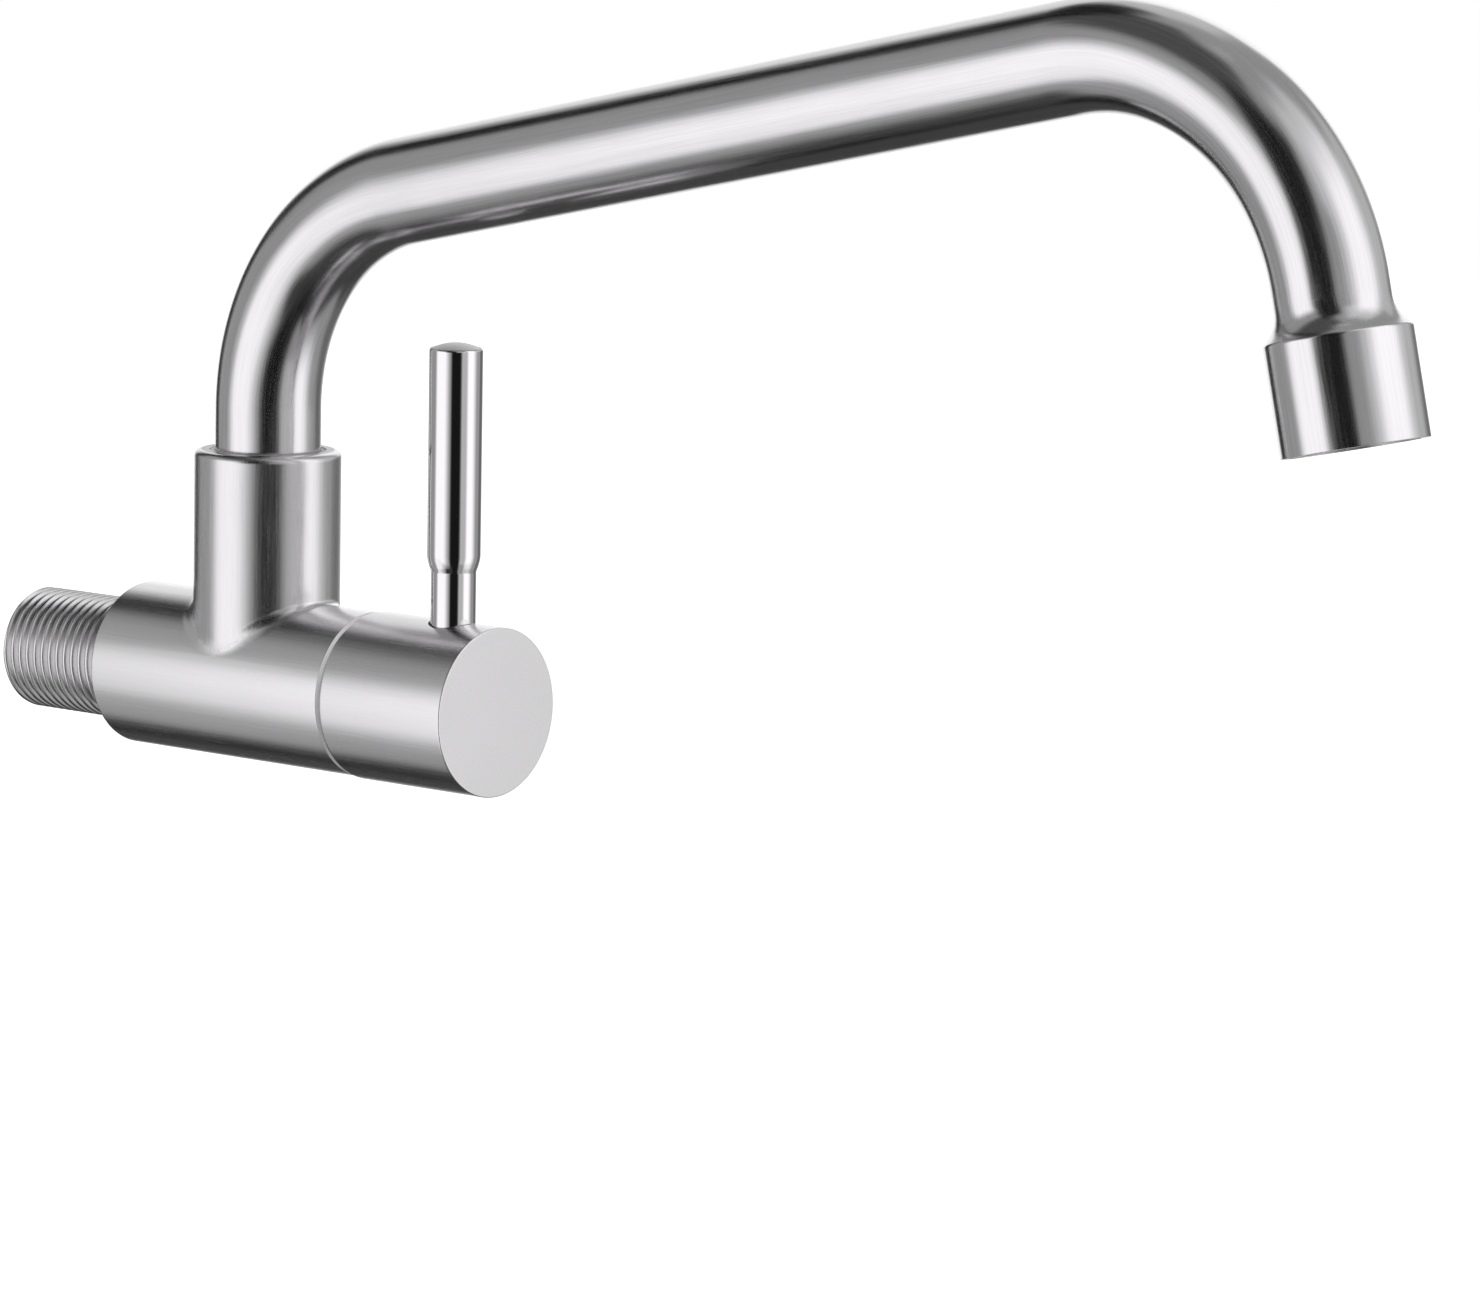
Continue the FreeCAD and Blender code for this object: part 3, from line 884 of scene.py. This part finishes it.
@dataclass
class Lever:
    """The polished bar screwed into the cap."""

    stud_r: float = 3.0
    stud_end: float = 5.5
    stud_cut: float = 0.3
    neck_r: float = 3.8
    neck_top: float = 22.75
    neck_cut: float = 0.15
    grip_r: float = 4.5
    foot_step: float = 0.4
    foot_cut: float = 0.2
    facet: float = 0.8
    taper: float = 1.4
    taper_cut: float = 0.7
    top: float = 61.1
    top_cut: float = 0.3
    crown: float = 1.0
    crown_flat_r: float = 1.5
    crown_cut: float = 1.2
    crown_drop: float = 0.02
    steps: int = 128

    def build(self) -> None:
        """Make the lever in one turned piece."""
        facet_top = self.neck_top + self.facet
        profile = [
            Corner(0.0, self.stud_end),
            Corner(self.stud_r, self.stud_end, self.stud_cut),
            Corner(self.stud_r, NECK_SEAT),
            Corner(self.neck_r, NECK_SEAT),
            Corner(self.neck_r, self.neck_top, self.neck_cut),
            Corner(self.grip_r - self.foot_step, facet_top, self.foot_cut),
            Corner(self.grip_r, facet_top + self.taper, self.taper_cut),
            Corner(self.grip_r, self.top - self.crown, self.top_cut),
            Corner(self.crown_flat_r, self.top - self.crown_drop, self.crown_cut),
            Corner(0.0, self.top),
        ]
        form = turned(profile, self.steps)
        refinish(form, lambda face: face.calc_center_median().z > self.top - self.crown)
        finishes = [Finish.POLISHED, Finish.DULL]
        piece = dressed(form, "lever_bar", finishes, Matrix.Translation((LEVER_X, 0.0, 0.0)))
        settle(piece, "handle", "polished_steel", "lever")


@dataclass
class SpoutPath:
    """The spout's centre line: riser, bend, rising run, bend and last leg."""

    foot: Vector
    riser: float = 14.72
    bend_1_r: float = 40.0
    bend_1_turn: float = math.radians(78.0)
    run: float = 142.0
    bend_2_r: float = 42.0
    bend_2_turn: float = math.radians(89.0)
    leg: float = 2.0
    tie: float = 1e-6

    def __post_init__(self) -> None:
        """Work out the places along the tube once."""
        self.places = self.marks()
        self.inverses = [place.inverted() for place in self.places]

    def stages(self) -> list[tuple[float, float, float]]:
        """The line's stages in order.

        Returns:
            Each stage's length, bend radius and turn.
        """
        return [
            (self.riser, 0.0, 0.0),
            (self.bend_1_r * self.bend_1_turn, self.bend_1_r, self.bend_1_turn),
            (self.run, 0.0, 0.0),
            (self.bend_2_r * self.bend_2_turn, self.bend_2_r, self.bend_2_turn),
            (self.leg, 0.0, 0.0),
        ]

    def marks(self) -> list[Matrix]:
        """Follow the line.

        Returns:
            Places at the start and after each stage, with Z along the line.
        """
        places = [Matrix.Translation(self.foot)]
        for length, radius, turn in self.stages():
            if turn == 0.0:
                places.append(places[-1] @ Matrix.Translation((0.0, 0.0, length)))
                continue
            centre = Matrix.Translation((radius, 0.0, 0.0))
            places.append(places[-1] @ centre @ Matrix.Rotation(turn, 4, "Y") @ centre.inverted())
        return places

    def lay(self, point: Vector) -> Grain:
        """Grain that follows the bent tube.

        Args:
            point: A point of the tube's wall.

        Returns:
            Its place on the tube made straight, and the direction along the tube.
        """
        so_far = 0.0
        best: Optional[tuple[float, Vector, Vector]] = None
        for (length, radius, turn), mark, back in zip(self.stages(), self.places, self.inverses):
            local = back @ point
            if turn == 0.0:
                along = min(max(local.z, 0.0), length)
                across = Vector((local.x, local.y, along))
                run = mark.to_3x3() @ UP
                miss = abs(local.z - along)
            else:
                angle = math.atan2(local.z, radius - local.x)
                kept = min(max(angle, 0.0), turn)
                across = Vector((radius - math.hypot(local.z, radius - local.x), local.y, radius * kept))
                run = mark.to_3x3() @ Vector((math.sin(kept), 0.0, math.cos(kept)))
                miss = abs(angle - kept) * radius
            if best is None or miss < best[0] - self.tie:
                best = (miss, across + Vector((0.0, 0.0, so_far)), run)
            so_far += length
        return best[1], best[2]


@dataclass
class Spout:
    """The bent tube and the ring that it turns in."""

    foot_z: float = 31.78
    ring_outer_r: float = 9.95
    ring_inner_r: float = 9.03
    ring_top: float = 39.4
    ring_cut: float = 0.2
    ring_inner_cut: float = 0.1
    around: int = 128
    bend_steps: int = 64
    straight_step: float = 12.0

    def path(self) -> SpoutPath:
        """The tube's centre line."""
        return SpoutPath(foot=Vector((RISER_X, 0.0, self.foot_z)))

    def tube(self) -> Form:
        """Sweep an outer and an inner circle along the centre line and close both ends.

        Returns:
            The tube.
        """
        path = self.path()
        form = bmesh.new()
        rims: list[Edges] = []
        for radius in (TUBE_R, TUBE_INNER_R):
            made = bmesh.ops.create_circle(
                form, cap_ends=False, segments=self.around, radius=radius, matrix=path.places[0]
            )
            verts = set(made["verts"])
            rim = [edge for edge in form.edges if set(edge.verts) <= verts]
            rims.append(rim)
            for (length, bend_r, turn), mark in zip(path.stages(), path.places):
                steps = self.bend_steps if turn else max(1, round(length / self.straight_step))
                centre = mark @ Vector((bend_r, 0.0, 0.0))
                ahead = mark.to_3x3() @ Vector((0.0, 0.0, length / steps))
                spun = bmesh.ops.spin(
                    form,
                    geom=rim + list({vert for edge in rim for vert in edge.verts}),
                    axis=(0.0, 1.0, 0.0),
                    cent=centre,
                    dvec=ORIGIN if turn else ahead,
                    angle=turn,
                    steps=steps,
                )
                rim = edges_in(spun["geom_last"])
            rims.append(rim)
        bmesh.ops.bridge_loops(form, edges=rims[0] + rims[2])
        bmesh.ops.bridge_loops(form, edges=rims[1] + rims[3])
        tidy(form)
        return form

    def build(self) -> None:
        """Make the tube and its slide ring."""
        path = self.path()
        piece = dressed(self.tube(), "spout_tube_skin", [Finish.TUBE], Matrix.Identity(4), path.lay)
        settle(piece, "spout", "satin_steel", "spout_tube")
        profile = [
            Corner(self.ring_inner_r, self.foot_z),
            Corner(self.ring_outer_r, self.foot_z),
            Corner(self.ring_outer_r, self.ring_top, self.ring_cut),
            Corner(self.ring_inner_r, self.ring_top, self.ring_inner_cut),
        ]
        ring = turned(profile)
        place = Matrix.Translation((RISER_X, 0.0, 0.0))
        piece = dressed(ring, "slide_ring_skin", [Finish.GREY_NYLON], place)
        settle(piece, "spout", "grey_nylon", "slide_ring")


@dataclass
class Outlet:
    """The flared bell with the aerator's ring in its mouth."""

    place: Matrix
    length: float = 22.7
    neck: float = 1.0
    flare_r: float = 5.2
    flare_angle: float = math.radians(56.0)
    bell_r: float = 11.5
    bell_inner_r: float = 10.3
    seat: float = 8.7
    bell_cut: float = 0.35
    mouth_cut: float = 0.08
    ring_r: float = 10.2
    ring_inner_r: float = 9.6
    lip_r: float = 9.0
    ring_top: float = 10.7
    ring_end: float = 22.2
    ring_cut: float = 0.2
    lip: float = 1.0

    def build(self) -> None:
        """Make the bell and the aerator's ring."""
        reach = self.flare_r * math.tan(self.flare_angle / 2)
        flare_foot = self.neck + reach
        shoulder = flare_foot + (self.bell_r - TUBE_R) / math.tan(self.flare_angle)
        profile = [
            Corner(TUBE_INNER_R, 0.0),
            Corner(TUBE_R, 0.0),
            Corner(TUBE_R, flare_foot, reach),
            Corner(self.bell_r, shoulder, self.bell_cut),
            Corner(self.bell_r, self.length, self.mouth_cut),
            Corner(self.bell_inner_r, self.length, self.mouth_cut),
            Corner(self.bell_inner_r, self.seat),
            Corner(TUBE_INNER_R, self.seat),
        ]
        form = turned(profile)
        wall_r = self.bell_r - self.bell_cut
        refinish(form, lambda face: math.hypot(*face.calc_center_median().xy) <= wall_r)
        piece = dressed(form, "outlet_bell", [Finish.BELL, Finish.TUBE], self.place)
        settle(piece, "spout", "satin_steel", "outlet_nozzle")
        profile = [
            Corner(self.ring_inner_r, self.ring_top),
            Corner(self.ring_r, self.ring_top),
            Corner(self.ring_r, self.ring_end, self.ring_cut),
            Corner(self.lip_r, self.ring_end, self.ring_cut),
            Corner(self.lip_r, self.ring_end - self.lip),
            Corner(self.ring_inner_r, self.ring_end - self.lip),
        ]
        ring = turned(profile)
        piece = dressed(ring, "aerator_ring", [Finish.TURNED], self.place)
        settle(piece, "spout", "machined_steel", "aerator_housing")


@dataclass
class InnerPieces:
    """The CAD pieces that are shown as they are, in their own finishes."""

    def build(self) -> None:
        """Give every carried-over node its finish."""
        finishes = {
            Finish.BRASS: ["cartridge_body", "spindle", "spline_insert", "spout_tail"],
            Finish.CERAMIC: ["fixed_disc", "moving_disc"],
            Finish.RUBBER: [
                "seat_seal", "cartridge_washer", "spindle_o_rings", "spout_o_rings", "aerator_washer"
            ],
            Finish.WHITE_NYLON: [
                "thrust_washer", "retaining_clip", "aerator_diffuser", "flow_straightener"
            ],
            Finish.SPRING: ["spindle_clip", "aerator_screens", "grub_screw"],
        }
        for finish, names in finishes.items():
            for name in names:
                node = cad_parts[name]
                node.data.materials.clear()
                node.data.materials.append(finish.made())
                LOG.info("%s: %s", name, finish.value.name)


# Studio


@dataclass(frozen=True)
class Panel:
    """A soft box or a flag inside the studio's tent, which only reflections see.

    Attributes:
        name: Its name.
        turn: Where it starts and ends around the tent, in degrees from +X towards +Y.
        rise: Its lower and upper edge, in degrees above level.
        level: Its brightness, where 1 is white.
        fade: How far it fades out beyond its start, its end, its lower and its upper edge.
        layer: How many steps it stands in front of the tent's wall.
    """

    name: str
    turn: tuple[float, float]
    rise: tuple[float, float]
    level: float
    fade: tuple[float, float, float, float]
    layer: int


def cover(value: float, low: float, high: float, before: float, after: float) -> float:
    """How solid a panel is at a place.

    Args:
        value: The place, in degrees.
        low: Where the panel starts.
        high: Where the panel ends.
        before: How far it fades out before its start.
        after: How far it fades out after its end.

    Returns:
        1 on the panel, fading to 0 around it.
    """
    if value < low:
        share = 1.0 - (low - value) / before if before > 0.0 else 0.0
    elif value > high:
        share = 1.0 - (value - high) / after if after > 0.0 else 0.0
    else:
        return 1.0
    share = min(max(share, 0.0), 1.0)
    return share * share * (3.0 - 2.0 * share)


@dataclass
class Studio:
    """Floor, soft light, tent and camera, with sizes in metres unless a name says otherwise."""

    floor_z: float = -3.2
    floor_reach: float = 30.0
    floor_grey: float = 0.8
    floor_rough: float = 0.9
    floor_glow: float = 0.75
    surround_grey: float = 0.5
    middle: tuple[float, float, float] = (0.12, 0.0, 0.05)
    tent_r: float = 3.0
    step: float = 0.01
    degrees_a_face: float = 2.0
    sensor_mm: float = 36.0
    lens_mm: float = 179.27
    clip: tuple[float, float] = (0.01, 100.0)
    lamp_side: float = 0.8
    lamp_power: float = 6.0
    lamp_at: tuple[float, float, float] = (0.2, -0.3, 1.0)
    lamp_tilt: float = math.radians(-17.0)

    def floor(self) -> None:
        """A wide, pale floor that looks white and still takes the tap's shadow."""
        form = bmesh.new()
        bmesh.ops.create_grid(form, x_segments=1, y_segments=1, size=self.floor_reach)
        bmesh.ops.translate(form, verts=form.verts[:], vec=(0.0, 0.0, self.floor_z))
        plane = as_object(form, "floor")
        nodes = Nodes("pale_floor")
        put(nodes.shader, Base_Color=grey(self.floor_grey), Roughness=self.floor_rough)
        glow = nodes.add("Emission")
        put(glow, Strength=self.floor_glow)
        white = nodes.add("AddShader")
        nodes.join(glow.outputs["Emission"], white.inputs[0])
        nodes.join(nodes.shader.outputs["BSDF"], white.inputs[1])
        lit = nodes.shader.outputs["BSDF"]
        self.seen_as_white(nodes.tree, lit, white.outputs["Shader"], nodes.surface)
        plane.data.materials.append(nodes.material)

    def seen_as_white(self, tree: bpy.types.NodeTree, lit: Socket, white: Socket, target: Socket) -> None:
        """Show one shader to the camera and in reflections, and another to everything else.

        Args:
            tree: The node tree.
            lit: What lights the tap.
            white: What is seen.
            target: The output's socket.
        """
        path = tree.nodes.new("ShaderNodeLightPath")
        seen: Socket = path.outputs["Is Camera Ray"]
        for name in ("Is Glossy Ray", "Is Transmission Ray"):
            either = tree.nodes.new("ShaderNodeMath")
            either.operation = "MAXIMUM"
            tree.links.new(seen, either.inputs[0])
            tree.links.new(path.outputs[name], either.inputs[1])
            seen = either.outputs["Value"]
        mix = tree.nodes.new("ShaderNodeMixShader")
        tree.links.new(seen, mix.inputs[0])
        tree.links.new(lit, mix.inputs[1])
        tree.links.new(white, mix.inputs[2])
        tree.links.new(mix.outputs["Shader"], target)

    def world(self) -> None:
        """An even pale surround."""
        world = bpy.data.worlds.new("surround")
        bpy.context.scene.world = world
        world.use_nodes = True
        tree = world.node_tree
        soft = tree.nodes["Background"]
        put(soft, Color=grey(self.surround_grey), Strength=1.0)
        white = tree.nodes.new("ShaderNodeBackground")
        put(white, Color=grey(1.0), Strength=1.0)
        target = tree.nodes["World Output"].inputs["Surface"]
        self.seen_as_white(tree, soft.outputs["Background"], white.outputs["Background"], target)

    def panels(self) -> list[Panel]:
        """The tent's grey wall with its soft boxes and flags.

        Returns:
            The panels, from the wall forwards.
        """
        rows = [
            ("tent", (-180, 180), (-90, 90), 0.34, (4, 4, 4, 4), 0),
            ("dark_below", (-180, 180), (-90, -62), 0.05, (0, 0, 0, 12), 1),
            ("dark_behind_low", (92, 182), (-90, -22), 0.06, (12, 8, 0, 6), 2),
            ("white_behind", (114, 147), (2, 35), 0.9, (10, 10, 6, 12), 3),
            ("white_behind_low", (127, 152), (-14, 11), 1.15, (8, 7, 9, 8), 4),
            ("dark_above", (-178, -76), (47, 76), 0.08, (10, 20, 10, 8), 5),
            ("grey_right", (-19, 4), (-30, 36), 0.54, (8, 8, 8, 8), 6),
            ("grey_right_high", (56, 84), (0, 32), 0.55, (8, 8, 8, 8), 7),
            ("shade_right", (84, 100), (-30, -2), 0.16, (12, 12, 12, 8), 8),
            ("grey_top_right", (-20, 40), (38, 62), 0.65, (25, 30, 10, 14), 9),
            ("grey_behind_high", (112, 138), (46, 60), 0.62, (14, 8, 6, 10), 10),
            ("white_left", (-129, -98.5), (-20, 8), 1.22, (17, 30, 29, 22), 11),
            ("white_left_low", (-133, -115), (-34, -22), 1.1, (12, 14, 12, 8), 12),
            ("white_right", (12, 28), (-22, 2), 1.26, (14, 33, 34, 8), 13),
            ("white_right_high", (8, 32), (3, 35), 1.26, (28, 32, 8, 28), 14),
            ("white_behind_right", (107, 126), (8, 34), 1.2, (7, 8, 6, 6), 15),
            ("white_behind_deep", (120, 133), (-23, -10), 0.95, (8, 8, 6, 6), 16),
            ("flag_camera_low", (-62, -30), (-62, -2), 0.01, (11, 13, 14, 4), 17),
            ("flag_camera_high", (-88, -50), (2, 46), 0.01, (10, 9, 4, 14), 18),
            ("flag_camera_deep", (-88, -60), (-60, -44), 0.04, (14, 8, 8, 10), 19),
            ("flag_behind_low", (159.5, 169), (-60, 9), 0.01, (5, 16, 10, 6), 20),
            ("flag_behind_high", (164, 179), (14, 46), 0.01, (5, 11, 6, 10), 22),
            ("flag_behind_top", (150, 181), (42, 60), 0.01, (10, 12, 4, 10), 23),
        ]
        return [Panel(*row) for row in rows]

    def panel(self, panel: Panel) -> None:
        """Hang one panel inside the tent.

        Args:
            panel: The panel.
        """
        before, after, under, over = panel.fade
        left, right = panel.turn[0] - before, panel.turn[1] + after
        low, high = panel.rise[0] - under, panel.rise[1] + over
        form = bmesh.new()
        bmesh.ops.create_grid(
            form,
            x_segments=math.ceil((right - left) / self.degrees_a_face),
            y_segments=math.ceil((high - low) / self.degrees_a_face),
            size=1.0,
        )
        solid = form.verts.layers.float.new(COVER)
        reach = self.tent_r - panel.layer * self.step
        for vert in form.verts:
            turn = left + (right - left) * (vert.co.x + 1.0) / 2.0
            rise = low + (high - low) * (vert.co.y + 1.0) / 2.0
            vert[solid] = cover(turn, *panel.turn, before, after) * cover(rise, *panel.rise, under, over)
            around, above = math.radians(turn), math.radians(rise)
            level = math.cos(above)
            vert.co = (level * math.cos(around), level * math.sin(around), math.sin(above))
        form.transform(Matrix.Translation(self.middle) @ Matrix.Scale(reach, 4))
        wall = as_object(form, panel.name)
        wall.data.materials.append(self.glow(panel))
        for ray in ("camera", "diffuse", "transmission", "shadow"):
            setattr(wall, f"visible_{ray}", False)

    def glow(self, panel: Panel) -> Material:
        """Even light that fades out at a panel's edges.

        Args:
            panel: The panel.

        Returns:
            Its material.
        """
        nodes = Nodes(panel.name)
        solid = nodes.add("Attribute", attribute_name=COVER)
        emission = nodes.add("Emission")
        put(emission, Color=grey(1.0), Strength=panel.level)
        clear = nodes.add("BsdfTransparent")
        mix = nodes.add("MixShader")
        nodes.join(solid.outputs["Fac"], mix.inputs[0])
        nodes.join(clear.outputs["BSDF"], mix.inputs[1])
        nodes.join(emission.outputs["Emission"], mix.inputs[2])
        nodes.join(mix.outputs["Shader"], nodes.surface)
        nodes.material.cycles.emission_sampling = "NONE"
        return nodes.material

    def camera(self) -> None:
        """The photograph's camera."""
        data = bpy.data.cameras.new("camera")
        data.sensor_width = self.sensor_mm
        data.lens = self.lens_mm
        data.clip_start, data.clip_end = self.clip
        camera = bpy.data.objects.new("camera", data)
        bpy.context.scene.collection.objects.link(camera)
        right = Vector((0.76354, 0.64553, 0.01728))
        up = Vector((-0.10463, 0.09727, 0.98974))
        back = Vector((0.63723, -0.75752, 0.14181))
        at = Vector((0.8922, -0.90111, 0.18516))
        axes = Matrix((right, up, back)).transposed().to_4x4()
        camera.matrix_world = Matrix.Translation(at) @ axes
        bpy.context.scene.camera = camera

    def lamps(self) -> None:
        """One large soft lamp above."""
        data = bpy.data.lights.new("soft_top", "AREA")
        data.shape = "RECTANGLE"
        data.size = self.lamp_side
        data.size_y = self.lamp_side
        data.energy = self.lamp_power
        lamp = bpy.data.objects.new("soft_top", data)
        lamp.location = self.lamp_at
        lamp.rotation_euler = (self.lamp_tilt, 0.0, 0.0)
        lamp.visible_glossy = False
        bpy.context.scene.collection.objects.link(lamp)

    def build(self) -> None:
        """Set up the studio."""
        self.camera()
        self.world()
        self.floor()
        self.lamps()
        for panel in self.panels():
            self.panel(panel)
        bpy.context.scene.view_settings.view_transform = "Standard"


def main() -> None:
    """Build the studio and every piece."""
    logging.basicConfig(level=logging.INFO, format="%(message)s")
    Studio().build()
    spout = Spout()
    builders = [
        InletTail(),
        Barrel(),
        HandleCap(),
        Lever(),
        spout,
        Outlet(place=spout.path().places[-1]),
        InnerPieces(),
    ]
    for builder in builders:
        builder.build()


if __name__ == "__main__":
    main()
